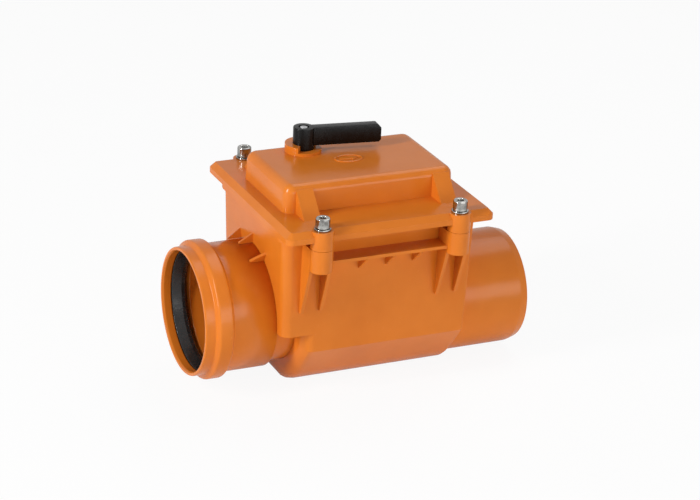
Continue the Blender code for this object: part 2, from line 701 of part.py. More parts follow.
def outlet_spigot():
    start = CHAMBER_RIGHT - SPIGOT_INSIDE
    length = CHAMBER_RIGHT + SPIGOT_LENGTH - start
    profile = [
        (PIPE_RADIUS - SPIGOT_CHAMFER_DEPTH, length), (PIPE_RADIUS, length - SPIGOT_CHAMFER_LENGTH),
        (PIPE_RADIUS, 0), (BORE_RADIUS, 0), (BORE_RADIUS, length),
    ]
    return lie_along_x(part(turned("spigot", profile, PIPE_STEPS), "outlet_spigot", ORANGE), start, OUTLET_Z)


def dome(name, inset, low, high):
    """The cover's raised box, shrunk by an inset."""
    outline = rounded_rectangle(
        DOME_LEFT + inset, DOME_LEFT + DOME_LENGTH - inset, DOME_HALF_WIDTH - inset, DOME_CORNER - inset,
        DOME_CORNER - inset, 5,
    )
    shape = plate(name, [outline], low, high)
    middle = DOME_LEFT + DOME_LENGTH / 2

    def drafted(co):
        if co.z > (low + high) / 2:
            co.x -= math.copysign(DOME_DRAFT, co.x - middle)
            co.y -= math.copysign(DOME_DRAFT / 2, co.y)
        return co

    reshape(shape, drafted)
    return round_edges(shape, DOME_ROUND - inset, 4, lambda a, b: min(a.z, b.z) > high - MM / 10)


def cover():
    outline = rounded_rectangle(
        FLANGE_LEFT, FLANGE_LEFT + FLANGE_LENGTH, FLANGE_HALF_WIDTH, FLANGE_CORNER, FLANGE_CORNER,
    )
    flange = plate("flange", [outline], FLANGE_Z, FLANGE_TOP)
    round_edges(flange, FLANGE_CHAMFER, 1, lambda a, b: min(a.z, b.z) > FLANGE_TOP - MM / 10)
    body = part(flange, "cover", ORANGE)
    skirt_outline = rim_outline(GAP + SKIRT_THICKNESS, PARTING_Z)
    root_z = FLANGE_Z + WALL
    join(body, plate("skirt", [skirt_outline], PARTING_Z, root_z), dome("dome", 0, root_z, DOME_TOP))
    wedge_top = FLANGE_TOP + WEDGE_HEIGHT
    for x, _y, side in bolt_places():
        foot = side * (DOME_HALF_WIDTH - DOME_DRAFT - WALL / 2)
        shoulder = side * (DOME_HALF_WIDTH - DOME_DRAFT / 2)
        toe = side * (DOME_HALF_WIDTH + WEDGE_REACH)
        profile = [(foot, root_z), (foot, wedge_top), (shoulder, wedge_top), (toe, FLANGE_TOP), (toe, root_z)]
        join(body, plate("wedge", [profile], x - WEDGE_WIDTH / 2, x + WEDGE_WIDTH / 2, "X"))
    cut(
        body,
        plate("rim_pocket", [rim_outline(GAP, RIM_Z)], PARTING_Z - MM, FLANGE_Z),
        plate("under_flange", [rim_outline(-LAND_WIDTH, RIM_Z)], PARTING_Z - MM, FLANGE_TOP - FLANGE_SKIN),
        dome("under_dome", DOME_WALL, FLANGE_Z, DOME_TOP - DOME_WALL),
    )
    outer = FLANGE_HALF_WIDTH - FLANGE_CHAMFER
    inner = wall_half_width(PARTING_Z) + GAP + SKIRT_THICKNESS + GAP
    for side in SIDES:
        low, high = sorted((side * inner, side * outer))
        cut(
            body,
            block(
                "flange_recess", (FLANGE_LEFT + FLANGE_CHAMFER + WALL, low, PARTING_Z),
                (FLANGE_LEFT + FLANGE_LENGTH - FLANGE_CHAMFER - WALL, high, FLANGE_TOP - FLANGE_SKIN),
            ),
        )
    for x, y, _side in bolt_places():
        join(body, rod("cover_boss", BOSS_RADIUS, (x, y, PARTING_Z), (x, y, FLANGE_TOP)))
    axis = (LEVER_X, LEVER_Y)
    root = (*axis, DOME_TOP - DOME_WALL / 2)
    join(
        body,
        rod("spindle_boss", SPINDLE_BOSS_RADIUS, (*axis, SPINDLE_BOSS_Z), root),
        rod("lever_collar", COLLAR_RADIUS, root, (*axis, COLLAR_TOP), RING_STEPS),
    )
    for x, y, _side in bolt_places():
        cut(body, rod("cover_hole", BOLT_RADIUS + GAP, (x, y, BOSS_TOP), (x, y, DOME_TOP), SMALL_STEPS))
    spare = math.asin(LEVER_ARM_WIDTH / 2 / LEVER_HUB_RADIUS) + NOTCH_MARGIN
    notch = [axis] + arc(*axis, 2 * COLLAR_RADIUS, LEVER_TURN - LOCK_TURN - spare, LEVER_TURN + spare, 8)
    return cut(
        body,
        rod("spindle_bore", SPINDLE_RADIUS + GAP, (*axis, SPINDLE_BOSS_Z - MM), (*axis, LEVER_TOP)),
        rod("lever_pocket", LEVER_HUB_RADIUS + GAP, (*axis, HUB_FLOOR_Z), (*axis, LEVER_TOP)),
        plate("stop_notch", [notch], COLLAR_TOP - NOTCH_DEPTH, LEVER_TOP),
    )


def cover_gasket():
    outlines = [rim_outline(-GAP, RIM_Z), rim_outline(-GAP - GASKET_WIDTH, RIM_Z)]
    return part(plate("gasket", outlines, RIM_Z + GAP, FLANGE_Z - GAP), "cover_gasket", RUBBER)


def cover_fasteners():
    """At each boss: a socket-head bolt, its washer, and the threaded insert that it screws into."""
    washer_z = FLANGE_TOP + GAP
    washer_top = washer_z + WASHER_THICKNESS
    head_z = washer_top + GAP
    head_top = head_z + BOLT_HEAD_HEIGHT
    bolt_profile = [
        (0, head_top), (BOLT_HEAD_RADIUS - BOLT_HEAD_ROUND, head_top),
        (BOLT_HEAD_RADIUS, head_top - BOLT_HEAD_ROUND), (BOLT_HEAD_RADIUS, head_z),
        (BOLT_RADIUS, head_z), (BOLT_RADIUS, BOLT_END), (0, BOLT_END),
    ]
    socket_corner = BOLT_SOCKET / math.sqrt(3)
    socket_z = head_top - BOLT_SOCKET_DEPTH
    rings = (
        ("cover_washer", WASHER_RADIUS, washer_z, washer_top),
        ("threaded_insert", INSERT_RADIUS, INSERT_Z, INSERT_TOP),
    )
    for x, y, side in bolt_places():
        place = f"{'front' if side < 0 else 'back'}_{'inlet' if x == BOLT_XS[0] else 'outlet'}"
        bolt = turned("bolt", bolt_profile, SMALL_STEPS, closed=False)
        part(bolt, f"cover_bolt_{place}", STEEL)
        bolt.location = (x, y, 0)
        cut(bolt, rod("bolt_socket", socket_corner, (x, y, socket_z), (x, y, head_top + MM), 6))
        for kind, radius, low, high in rings:
            profile = [(radius, high), (radius, low), (BOLT_RADIUS + GAP, low), (BOLT_RADIUS + GAP, high)]
            ring = part(turned(kind, profile, SMALL_STEPS), f"{kind}_{place}", STEEL)
            ring.location = (x, y, 0)


def flap_axis():
    empty = bpy.data.objects.new("flap_axis", None)
    PARTS.objects.link(empty)
    empty.location = HINGE
    empty.rotation_euler = (0, -SEAT_TILT, 0)
    return empty


def flap_disc(name, radius, start, end, frame, steps=PIPE_STEPS):
    return rod(name, radius, (start, 0, FLAP_CENTRE_Z), (end, 0, FLAP_CENTRE_Z), steps, frame=frame)


def screw_places():
    """(y, z) of each flap screw about the flap's centre, set between the ribs."""
    angles = [(index + 0.5) * 2 * math.pi / FLAP_SCREWS for index in range(FLAP_SCREWS)]
    return [
        (FLAP_SCREW_CIRCLE * math.cos(a), FLAP_CENTRE_Z + FLAP_SCREW_CIRCLE * math.sin(a)) for a in angles
    ]


def flap_plate(frame):
    """The flap: a disc with a ribbed downstream face, two hinge knuckles, and a tail that the lock blocks."""
    body = part(flap_disc("flap", FLAP_RADIUS, FLAP_BACK, FLAP_FRONT, frame), "flap_plate", BLACK)
    rib_top = FLAP_FRONT + FLAP_RIB_HEIGHT
    sunk = FLAP_FRONT - MM
    ring = turned(
        "flap_ring",
        [(FLAP_RING_RADIUS + FLAP_RIB_THICKNESS, rib_top), (FLAP_RING_RADIUS + FLAP_RIB_THICKNESS, sunk),
         (FLAP_RING_RADIUS, sunk), (FLAP_RING_RADIUS, rib_top)],
        PIPE_STEPS, frame=frame,
    )
    ring.rotation_euler = (0, math.pi / 2, 0)
    ring.location = (0, 0, FLAP_CENTRE_Z)
    half = FLAP_RIB_THICKNESS / 2
    reach = FLAP_RING_RADIUS + half
    for across, up in ((half, reach), (reach, half)):
        low, high = (sunk, -across, FLAP_CENTRE_Z - up), (rib_top, across, FLAP_CENTRE_Z + up)
        join(body, block("flap_rib", low, high, frame))
    join(body, ring, flap_disc("flap_boss", FLAP_BOSS_RADIUS, sunk, rib_top, frame, BOSS_STEPS))
    for side in SIDES:
        low, high = sorted((side * (KNUCKLE_END - KNUCKLE_WIDTH), side * KNUCKLE_END))
        outline = arc(0, 0, KNUCKLE_RADIUS, *KNUCKLE_ROUND, 9)
        outline += [(FLAP_BACK, -KNUCKLE_RADIUS), (FLAP_BACK, FLAP_CENTRE_Z + FLAP_RING_RADIUS)]
        outline += [(FLAP_FRONT, FLAP_CENTRE_Z + FLAP_RING_RADIUS)]
        join(body, plate("knuckle", [outline], low, high, "Y", frame))
    half = TAIL_THICKNESS / 2
    join(
        body,
        block("tail", (-half, KNUCKLE_END - KNUCKLE_WIDTH, 0), (half, KNUCKLE_END, TAIL_HEIGHT), frame),
    )
    pin_line = ((0, -EAR_END, 0), (0, EAR_END, 0))
    cut(body, rod("knuckle_bore", HINGE_PIN_RADIUS + GAP, *pin_line, SMALL_STEPS, frame=frame))
    for index, (y, z) in enumerate(screw_places()):
        hole = rod(
            f"flap_screw_hole_{index}", FLAP_SCREW_RADIUS + GAP, (FLAP_BACK - MM, y, z), (rib_top, y, z),
            SMALL_STEPS, frame=frame,
        )
        cut(body, hole)
    return body


def flap_seal_and_retainer(frame):
    """A flat rubber ring under the flap, clamped by a disc that sits inside the bore."""
    seal_back = FLAP_BACK - GAP - FLAP_SEAL_THICKNESS
    seal = turned(
        "seal_ring",
        [(FLAP_RADIUS - GAP, FLAP_BACK - GAP), (FLAP_RADIUS - GAP, seal_back), (FLAP_SEAL_INNER, seal_back),
         (FLAP_SEAL_INNER, FLAP_BACK - GAP)],
        PIPE_STEPS, frame=frame,
    )
    seal.rotation_euler = (0, math.pi / 2, 0)
    seal.location = (0, 0, FLAP_CENTRE_Z)
    part(seal, "flap_seal", RUBBER)
    face = seal_back - GAP
    back = face - RETAINER_THICKNESS
    retainer = flap_disc("retainer", RETAINER_RADIUS, back, face, frame)
    part(retainer, "flap_seal_retainer", BLACK)
    join(retainer, flap_disc("spigot", FLAP_SEAL_INNER - GAP, face - MM, FLAP_BACK - GAP, frame))
    head = FLAP_FRONT + GAP
    head_end = head + FLAP_SCREW_HEAD_HEIGHT
    for index, (y, z) in enumerate(screw_places()):
        hole_line = ((back - MM, y, z), (FLAP_BACK + MM, y, z))
        cut(retainer, rod("retainer_hole", FLAP_SCREW_RADIUS + GAP, *hole_line, SMALL_STEPS, frame=frame))
        head_line = ((head, y, z), (head_end, y, z))
        screw = rod("flap_screw", FLAP_SCREW_HEAD, *head_line, SMALL_STEPS, FLAP_SCREW_FACE, frame)
        part(screw, f"flap_screw_{index + 1}", STAINLESS)
        shank_line = ((back, y, z), (head + MM, y, z))
        join(screw, rod("flap_shank", FLAP_SCREW_RADIUS, *shank_line, SMALL_STEPS, frame=frame))


def hinge_pin():
    """A headed pin through ears and knuckles, kept by a spring clip in its groove."""
    x, z = HINGE.x, HINGE.z
    head = EAR_END + GAP
    tail = head + CLIP_THICKNESS + GAP
    pin = rod(
        "pin", HINGE_PIN_RADIUS, (x, -head - MM, z), (x, tail + 2 * CLIP_THICKNESS, z), SMALL_STEPS,
    )
    part(pin, "hinge_pin", STAINLESS)
    join(pin, rod("pin_head", PIN_HEAD_RADIUS, (x, -head - PIN_HEAD_HEIGHT, z), (x, -head, z), SMALL_STEPS))
    groove_radius = HINGE_PIN_RADIUS - CLIP_GROOVE_DEPTH
    turn = 2 * math.pi * (1 - 1 / SMALL_STEPS)
    groove = [arc(x, z, radius, 0, turn, SMALL_STEPS - 1) for radius in (CLIP_RADIUS, groove_radius)]
    cut(pin, plate("pin_groove", groove, head, tail + GAP, "Y"))
    start, end = CLIP_OPENING - math.pi / 2, 1.5 * math.pi - CLIP_OPENING
    c_shape = arc(x, z, CLIP_RADIUS, start, end, 14) + arc(x, z, groove_radius + GAP, end, start, 14)
    clip = plate("clip", [c_shape], head + GAP, head + GAP + CLIP_THICKNESS, "Y")
    part(clip, "hinge_pin_clip", STAINLESS)


def lever_axis():
    empty = bpy.data.objects.new("lever_axis", None)
    PARTS.objects.link(empty)
    empty.location = (LEVER_X, LEVER_Y, 0)
    return empty


def square(name, side, low, high, frame):
    return block(name, (-side / 2, -side / 2, low), (side / 2, side / 2, high), frame)


def lock_spindle(frame):
    flange_top = SPINDLE_BOSS_Z - GAP
    flange_z = flange_top - SPINDLE_FLANGE_THICKNESS
    top = HUB_FLOOR_Z
    groove = SPINDLE_RADIUS - 2 * O_RING_SECTION - GAP
    profile = [(0, top), (SPINDLE_RADIUS, top)]
    for depth in O_RING_DEPTHS:
        high = DOME_TOP - depth + O_RING_SECTION + GAP
        low = DOME_TOP - depth - O_RING_SECTION - GAP
        profile += [(SPINDLE_RADIUS, high), (groove, high), (groove, low), (SPINDLE_RADIUS, low)]
    profile += [
        (SPINDLE_RADIUS, flange_top), (SPINDLE_FLANGE_RADIUS, flange_top),
        (SPINDLE_FLANGE_RADIUS, flange_z), (0, flange_z),
    ]
    spindle = turned("spindle", profile, BOSS_STEPS, closed=False, frame=frame)
    part(spindle, "lock_spindle", STAINLESS)
    square_top = LEVER_TOP - SCREW_HEAD_HEIGHT - 2 * MM
    join(
        spindle,
        square("lower_square", SPINDLE_SQUARE, CAM_Z + GAP, flange_z + MM, frame),
        square("upper_square", SPINDLE_SQUARE, top - MM, square_top, frame),
    )
    for low, high in ((CAM_Z, CAM_Z + SCREW_LENGTH + GAP), (square_top - SCREW_LENGTH, LEVER_TOP)):
        cut(spindle, rod("thread", SCREW_RADIUS + GAP, (0, 0, low), (0, 0, high), SMALL_STEPS, frame=frame))
    middle = SPINDLE_RADIUS - O_RING_SECTION
    for index, depth in enumerate(O_RING_DEPTHS):
        section = arc(middle, DOME_TOP - depth, O_RING_SECTION, math.pi / 2, -1.5 * math.pi, 6)[:-1]
        ring = turned("o_ring", section, BOSS_STEPS)
        ring.location = (LEVER_X, LEVER_Y, 0)
        part(ring, f"spindle_o_ring_{('upper', 'lower')[index]}", RUBBER)
    return square_top


def lever_handle(frame, square_top):
    bottom = HUB_FLOOR_Z + GAP
    handle = rod("hub", LEVER_HUB_RADIUS, (0, 0, bottom), (0, 0, LEVER_TOP), BOSS_STEPS, frame=frame)
    part(handle, "lever_handle", BLACK)
    arm_z = LEVER_TOP - LEVER_ARM_HEIGHT
    half = LEVER_ARM_WIDTH / 2
    low_chamfer = LEVER_TIP_CHAMFER / 2
    arm_outline = [
        (0, arm_z), (LEVER_REACH - low_chamfer, arm_z), (LEVER_REACH, arm_z + low_chamfer),
        (LEVER_REACH, LEVER_TOP - LEVER_TIP_CHAMFER), (LEVER_REACH - LEVER_TIP_CHAMFER, LEVER_TOP),
        (0, LEVER_TOP),
    ]
    arm = plate("arm", [arm_outline], -half, half, "Y", frame)
    arm.rotation_euler = (0, 0, LEVER_TURN)
    join(handle, arm)
    recess_z = square_top + GAP + MM
    recess_line = ((0, 0, recess_z), (0, 0, LEVER_TOP + MM))
    hole_line = ((0, 0, square_top), (0, 0, LEVER_TOP))
    cut(
        handle,
        square("lever_square", SPINDLE_SQUARE + 2 * GAP, bottom - MM, square_top + GAP, frame),
        rod("screw_recess", SCREW_HEAD_RADIUS + GAP, *recess_line, SMALL_STEPS, frame=frame),
        rod("screw_hole", SCREW_RADIUS + GAP, *hole_line, SMALL_STEPS, frame=frame),
    )
    head_z = recess_z + GAP
    head_line = ((0, 0, head_z), (0, 0, head_z + SCREW_HEAD_HEIGHT))
    shank_line = ((0, 0, square_top - SCREW_LENGTH + GAP), (0, 0, head_z + MM))
    screw = rod("lever_screw", SCREW_HEAD_RADIUS, *head_line, SMALL_STEPS, SCREW_FACE_RADIUS, frame)
    part(screw, "lever_screw", STAINLESS)
    join(screw, rod("lever_screw_shank", SCREW_RADIUS, *shank_line, SMALL_STEPS, frame=frame))


def lock_cam(frame):
    """A hook in plan. Turned to lock, its arc lies behind the flap's tail, and its arm passes beside it."""
    tail_back = HINGE.x - TAIL_HEIGHT * math.sin(SEAT_TILT) - TAIL_THICKNESS / 2
    corner = math.hypot(LEVER_X - tail_back, KNUCKLE_WIDTH / 2)
    inner = corner + RUNNING_GAP
    outer = inner + CAM_ARC_WIDTH
    centre = math.pi + LOCK_TURN
    start, end = centre - CAM_ARC_HALF_ANGLE, centre + CAM_ARM_TO
    outline = arc(0, 0, outer, start, end, 10)
    outline += arc(0, 0, CAM_HUB_RADIUS, end, centre + CAM_ARM_FROM + 2 * math.pi, 16)
    outline += arc(0, 0, inner, centre + CAM_ARM_FROM, start, 6)
    cam = part(plate("cam", [outline], CAM_Z, CAM_TOP, frame=frame), "lock_cam", BLACK)
    cut(cam, square("cam_square", SPINDLE_SQUARE + 2 * GAP, CAM_Z - MM, CAM_TOP + MM, frame))
    head_top = CAM_Z - GAP
    head_line = ((0, 0, head_top - SCREW_HEAD_HEIGHT), (0, 0, head_top))
    shank_line = ((0, 0, head_top - MM), (0, 0, CAM_Z + SCREW_LENGTH))
    screw = rod("cam_screw", SCREW_HEAD_RADIUS + MM, *head_line, SMALL_STEPS, frame=frame)
    part(screw, "cam_screw", STAINLESS)
    join(screw, rod("cam_screw_shank", SCREW_RADIUS, *shank_line, SMALL_STEPS, frame=frame))


def build():
    valve_chamber()
    inlet_seat()
    inlet_socket()
    socket_seal()
    outlet_spigot()
    cover()
    cover_gasket()
    cover_fasteners()
    flap = flap_axis()
    flap_plate(flap)
    flap_seal_and_retainer(flap)
    hinge_pin()
    lever = lever_axis()
    square_top = lock_spindle(lever)
    lever_handle(lever, square_top)
    lock_cam(lever)


build()
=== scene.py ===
"""Looks of the backwater valve.

Every surface gets a procedural finish. The socket, spigot, seal, screws, washers and lever are drawn
anew with fine turning and soft edges, and a plain arrow stands on the cover. The camera is the
photograph's, over a pale floor in soft light.
"""

import json
import math

import bmesh
import bpy
from mathutils import Matrix, Vector


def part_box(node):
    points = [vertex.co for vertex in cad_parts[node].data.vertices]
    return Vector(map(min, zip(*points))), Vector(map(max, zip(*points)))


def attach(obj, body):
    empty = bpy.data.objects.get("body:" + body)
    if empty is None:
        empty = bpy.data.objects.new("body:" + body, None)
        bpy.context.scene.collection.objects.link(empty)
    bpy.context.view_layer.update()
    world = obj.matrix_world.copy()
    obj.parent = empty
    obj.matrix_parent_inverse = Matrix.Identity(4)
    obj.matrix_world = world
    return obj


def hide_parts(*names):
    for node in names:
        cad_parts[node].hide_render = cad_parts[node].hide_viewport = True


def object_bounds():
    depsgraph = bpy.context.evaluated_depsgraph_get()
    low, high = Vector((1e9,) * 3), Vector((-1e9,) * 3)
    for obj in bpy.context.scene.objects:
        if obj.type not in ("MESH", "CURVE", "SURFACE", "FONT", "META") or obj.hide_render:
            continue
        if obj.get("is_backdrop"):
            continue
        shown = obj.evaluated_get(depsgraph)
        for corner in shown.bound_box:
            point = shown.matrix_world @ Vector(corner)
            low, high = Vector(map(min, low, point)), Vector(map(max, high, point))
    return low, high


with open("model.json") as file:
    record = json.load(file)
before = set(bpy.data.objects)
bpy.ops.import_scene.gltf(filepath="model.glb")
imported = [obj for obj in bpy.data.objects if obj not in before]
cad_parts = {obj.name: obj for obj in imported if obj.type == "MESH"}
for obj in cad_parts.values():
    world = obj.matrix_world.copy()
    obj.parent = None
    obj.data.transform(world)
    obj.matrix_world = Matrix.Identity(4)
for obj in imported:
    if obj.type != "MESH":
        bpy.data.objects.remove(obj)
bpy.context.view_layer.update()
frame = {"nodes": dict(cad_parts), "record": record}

MM = 0.001
DEGREE = math.pi / 180
FULL_TURN = 2 * math.pi
SIXTH_TURN = math.pi / 3

NODES = frame["nodes"]
CORNERS = [f"{side}_{end}" for side in ("front", "back") for end in ("inlet", "outlet")]

# The photograph's camera, solved from the valve's edges
CAMERA_PLACE = Vector((-0.8413, -1.7948, 0.9508))
CAMERA_AZIMUTH = -25.141 * DEGREE
CAMERA_ELEVATION = 22.921 * DEGREE
CAMERA_ROLL = 2.638 * DEGREE
CLIP_START = 0.05
FOCAL_PIXELS = 2329.2
IMAGE_WIDTH = 700
SENSOR_MM = 36.0

# Studio. SEEN and MIRRORED say how white a surface looks to the camera and in a reflection.
WORLD_LIGHT = 0.22
WORLD_SEEN = 1.0
WORLD_MIRRORED = 0.7
FLOOR_SEEN = 0.92
FLOOR_MIRRORED = 0.3
FLOOR_ROUGHNESS = 0.7
FLOOR_REACH = 6
FLOOR_DROP = 0.1 * MM
LAMP_AIM = (0, 0, 0.1)
LAMPS = (  # name, place, width and height in metres, watts
    ("key", (-2.2, -0.45, 1.05), 0.22, 1.4, 46),
    ("overhead", (0.62, 0.38, 1.5), 0.9, 1.1, 7),
    ("front_fill", (0.6, -2.2, 0.5), 3.0, 0.9, 27),
)

# Inputs and outputs of Blender's colour Mix node, which has several of the same name
MIX_FIRST = 6
MIX_SECOND = 7
MIX_RESULT = 2

# Soft edges that CAD nodes get
SOFT_EDGES = {"cover": 0.7 * MM, "valve_chamber": 0.6 * MM, "inlet_seat": 0.4 * MM}
SOFT_EDGE_STEPS = 2
SOFT_EDGE_ANGLE = 32 * DEGREE
WELD_DISTANCE = 0.002 * MM
FLAT_ANGLE = 0.4 * DEGREE
NORMAL_WEIGHT = 80

# Turned pieces
TURN_STEPS = 144
SMALL_TURN_STEPS = 72
CORNER_STEPS = 5
SMALL_CORNER_STEPS = 4
CORNER_SHARE = 0.45
NEARLY_STRAIGHT = 89 * DEGREE
MERGE_DISTANCE = 0.0005 * MM
ROUND_PROFILE = 0.5
SHARP = 0

# Pipe, socket, seal and spigot
SEAM = 0.3 * MM
PIPE_WALL = 3.2 * MM
SOCKET_BORE = 55.3 * MM
SOCKET_LIP = 9.6 * MM
SOCKET_STEP = 4.0 * MM
BEAD_LENGTH = 17.4 * MM
BEAD_RISE = 4.8 * MM
BEAD_SHOULDER = 2.6 * MM
BEAD_ROUND = 2.4 * MM
BEAD_FOOT_ROUND = 1.4 * MM
GROOVE_START = 8.6 * MM
GROOVE_ROUND = 1.5 * MM
GROOVE_START_ROUND = 0.8 * MM
GROOVE_END_ROUND = 1.6 * MM
STEP_ROUND = 0.6 * MM
STEP_FOOT_ROUND = 0.8 * MM
MOUTH_LEAD = 2.0 * MM
MOUTH_LEAD_ROUND = 1.0 * MM
MOUTH_EDGE = 2.2 * MM
MOUTH_INSIDE_ROUND = 0.4 * MM
MOUTH_OUTSIDE_ROUND = 0.5 * MM
LIP_ROUND = 1.0 * MM
END_ROUND = 0.1 * MM
COLLAR_LENGTH = 4.0 * MM
SLEEVE_PROUD = 0.1 * MM
SLEEVE_DEPTH = 1.0 * MM
SEAL_LIP_RADIUS = 51.9 * MM
SEAL_CONE = 10.0 * MM
SEAL_CONE_POINTS = ((0.2, 0.22, 2.0 * MM), (0.9, 0.9, 4.0 * MM))  # share of drop and of cone, rounding
SEAL_CREST = 1.2
SEAL_CREST_ROUND = 3.0 * MM
SEAL_TAIL = 3.2 * MM
SEAL_BACK_ROUND = 0.6 * MM
SEAL_SHOULDER_ROUND = 0.8 * MM
SEAL_EDGE_ROUND = 0.5 * MM
SPIGOT_CHAMFER_LENGTH = 8.0 * MM
SPIGOT_CHAMFER_DEPTH = 2.2 * MM
SPIGOT_CHAMFER_ROUND = 5.0 * MM
SPIGOT_OUTSIDE_ROUND = 0.5 * MM
SPIGOT_INSIDE_ROUND = 0.4 * MM

# Cover screws and washers
BOLT_RADIUS = 4.0 * MM
BOLT_TIP_CHAMFER = 0.8 * MM
BOLT_SHARP_ANGLE = 44 * DEGREE
HEAD_HEIGHT = 9.2 * MM
HEAD_SHOULDER = 1.1 * MM
HEAD_SHOULDER_STEPS = 6
HEAD_FLAT = 0.4 * MM
HEAD_FOOT = ((0, 0.6 * MM), (0.15 * MM, 0.1 * MM), (0.5 * MM, 0))  # inset and rise
KNURL_DEPTH = 0.28 * MM
KNURL_BELOW_SHOULDER = 0.3 * MM
KNURL_ABOVE_FOOT = 1.0 * MM
HEXAGON = 6.0 * MM
HEXAGON_DEPTH = 4.5 * MM
HEXAGON_FLOOR_STEP = 0.02 * MM
HEXAGON_CHAMFER = 0.6 * MM
DRILL_RADIUS = 2.6 * MM
DRILL_DEPTH = 0.8 * MM
DRILL_TIP = 0.2 * MM
RIM_INSIDE = 3.6 * MM
RIM_OUTSIDE = 3.8 * MM
RIM_DEPTH = 0.05 * MM
WASHER_TOP_ROUND = 0.45 * MM
WASHER_FOOT_ROUND = 0.2 * MM
WASHER_HOLE_ROUND = 0.3 * MM

# Lever
LEVER_AXIS = Vector((-0.0365, 0.031, 0))
LEVER_TURN = -8 * DEGREE
LEVER_HUB_RADIUS = 9.7 * MM
LEVER_HUB_STEPS = 60
LEVER_ROOT_STEPS = 8
LEVER_REACH = 73.0 * MM
LEVER_ARM_HEIGHT = 17.6 * MM
LEVER_ARM_WIDTH = 9.0 * MM
LEVER_TIP_CHAMFER = 4.0 * MM
LEVER_EDGE_ROUND = 0.9 * MM
LEVER_EDGE_STEPS = 4
LEVER_SHARP_ANGLE = 40 * DEGREE
RECESS_DEPTH = 2.9 * MM
RECESS_FLOOR_RADIUS = 4.9 * MM
RECESS_TOP_RADIUS = 5.1 * MM
RECESS_CUTTER = 20 * MM

# Flow arrow
LEVER_COLLAR_HEIGHT = 7.6 * MM
ARROW_PLACE = (-5 * MM, -1 * MM)
ARROW_SUNK = 0.1 * MM
ARROW_OUTLINE = ((-8.5, -2), (2, -2), (2, -5), (9, 0), (2, 5), (2, 2), (-8.5, 2))  # millimetres
ARROW_HEIGHT = 1.1 * MM
ARROW_ROUND_SHARE = 0.45
ARROW_ROUND_STEPS = 3
ARROW_SHARP_ANGLE = 50 * DEGREE
OVAL_STEPS = 96
OVAL_LONG = 12.8 * MM
OVAL_SHORT = 8.2 * MM
OVAL_HALF_WIDTH = 0.9 * MM
OVAL_SECTION = (  # share of the half width, rise in millimetres
    (1, 0), (1, 0.7), (0.5, 1.0), (-0.5, 1.0), (-1, 0.7), (-1, 0),
)


def linear(channel):
    return channel / 12.92 if channel <= 0.04045 else ((channel + 0.055) / 1.055) ** 2.4


def colour(*rgb):
    """A linear colour from sRGB numbers of 0 to 255."""
    return (*(linear(c / 255) for c in rgb), 1)


class Finish:
    """A Principled material with helpers that add procedural detail to it."""

    def __init__(self, name):
        self.material = bpy.data.materials.new(name)
        self.material.use_nodes = True
        self.tree = self.material.node_tree
        self.shader = self.tree.nodes["Principled BSDF"]
        self.place = self.add("ShaderNodeTexCoord").outputs["Object"]

    def add(self, kind, **settings):
        node = self.tree.nodes.new(kind)
        for key, value in settings.items():
            setattr(node, key, value)
        return node

    def link(self, output, target):
        self.tree.links.new(output, target)

    def noise(self, scale, detail, roughness=0.55, stretch=None):
        """Noise whose blotches are about 1/scale metres across."""
        node = self.add("ShaderNodeTexNoise")
        node.inputs["Scale"].default_value = scale
        node.inputs["Detail"].default_value = detail
        node.inputs["Roughness"].default_value = roughness
        if stretch:
            mapping = self.add("ShaderNodeMapping")
            mapping.inputs["Scale"].default_value = stretch
            self.link(self.place, mapping.inputs["Vector"])
            self.link(mapping.outputs["Vector"], node.inputs["Vector"])
        else:
            self.link(self.place, node.inputs["Vector"])
        return node.outputs["Fac"]

    def ramp(self, fac, *stops):
        """Colours or greys at positions along a factor."""
        node = self.add("ShaderNodeValToRGB")
        elements = node.color_ramp.elements
        while len(elements) < len(stops):
            elements.new(0.5)
        for element, (position, value) in zip(elements, stops):
            element.position = position
            element.color = value if isinstance(value, tuple) else (value, value, value, 1)
        self.link(fac, node.inputs["Fac"])
        return node.outputs["Color"]

    def mix(self, fac, first, second, blend="MIX"):
        """Two colours mixed by a number or by a factor's output."""
        node = self.add("ShaderNodeMix", data_type="RGBA", blend_type=blend)
        if isinstance(fac, float):
            node.inputs["Factor"].default_value = fac
        else:
            self.link(fac, node.inputs["Factor"])
        for value, socket in ((first, node.inputs[MIX_FIRST]), (second, node.inputs[MIX_SECOND])):
            if isinstance(value, tuple):
                socket.default_value = value
            else:
                self.link(value, socket)
        return node.outputs[MIX_RESULT]

    def bump(self, height, depth, strength, after=None):
        """A relief of so many metres, on top of another relief if there is one."""
        node = self.add("ShaderNodeBump")
        node.inputs["Strength"].default_value = strength
        node.inputs["Distance"].default_value = depth
        self.link(height, node.inputs["Height"])
        if after:
            self.link(after, node.inputs["Normal"])
        return node.outputs["Normal"]

    def output(self, **sockets):
        """Sets the shader's sockets to numbers or links them, and gives the material."""
        for name, value in sockets.items():
            socket = self.shader.inputs[name.replace("_", " ")]
            if hasattr(value, "links"):
                self.link(value, socket)
            else:
                socket.default_value = value
        return self.material


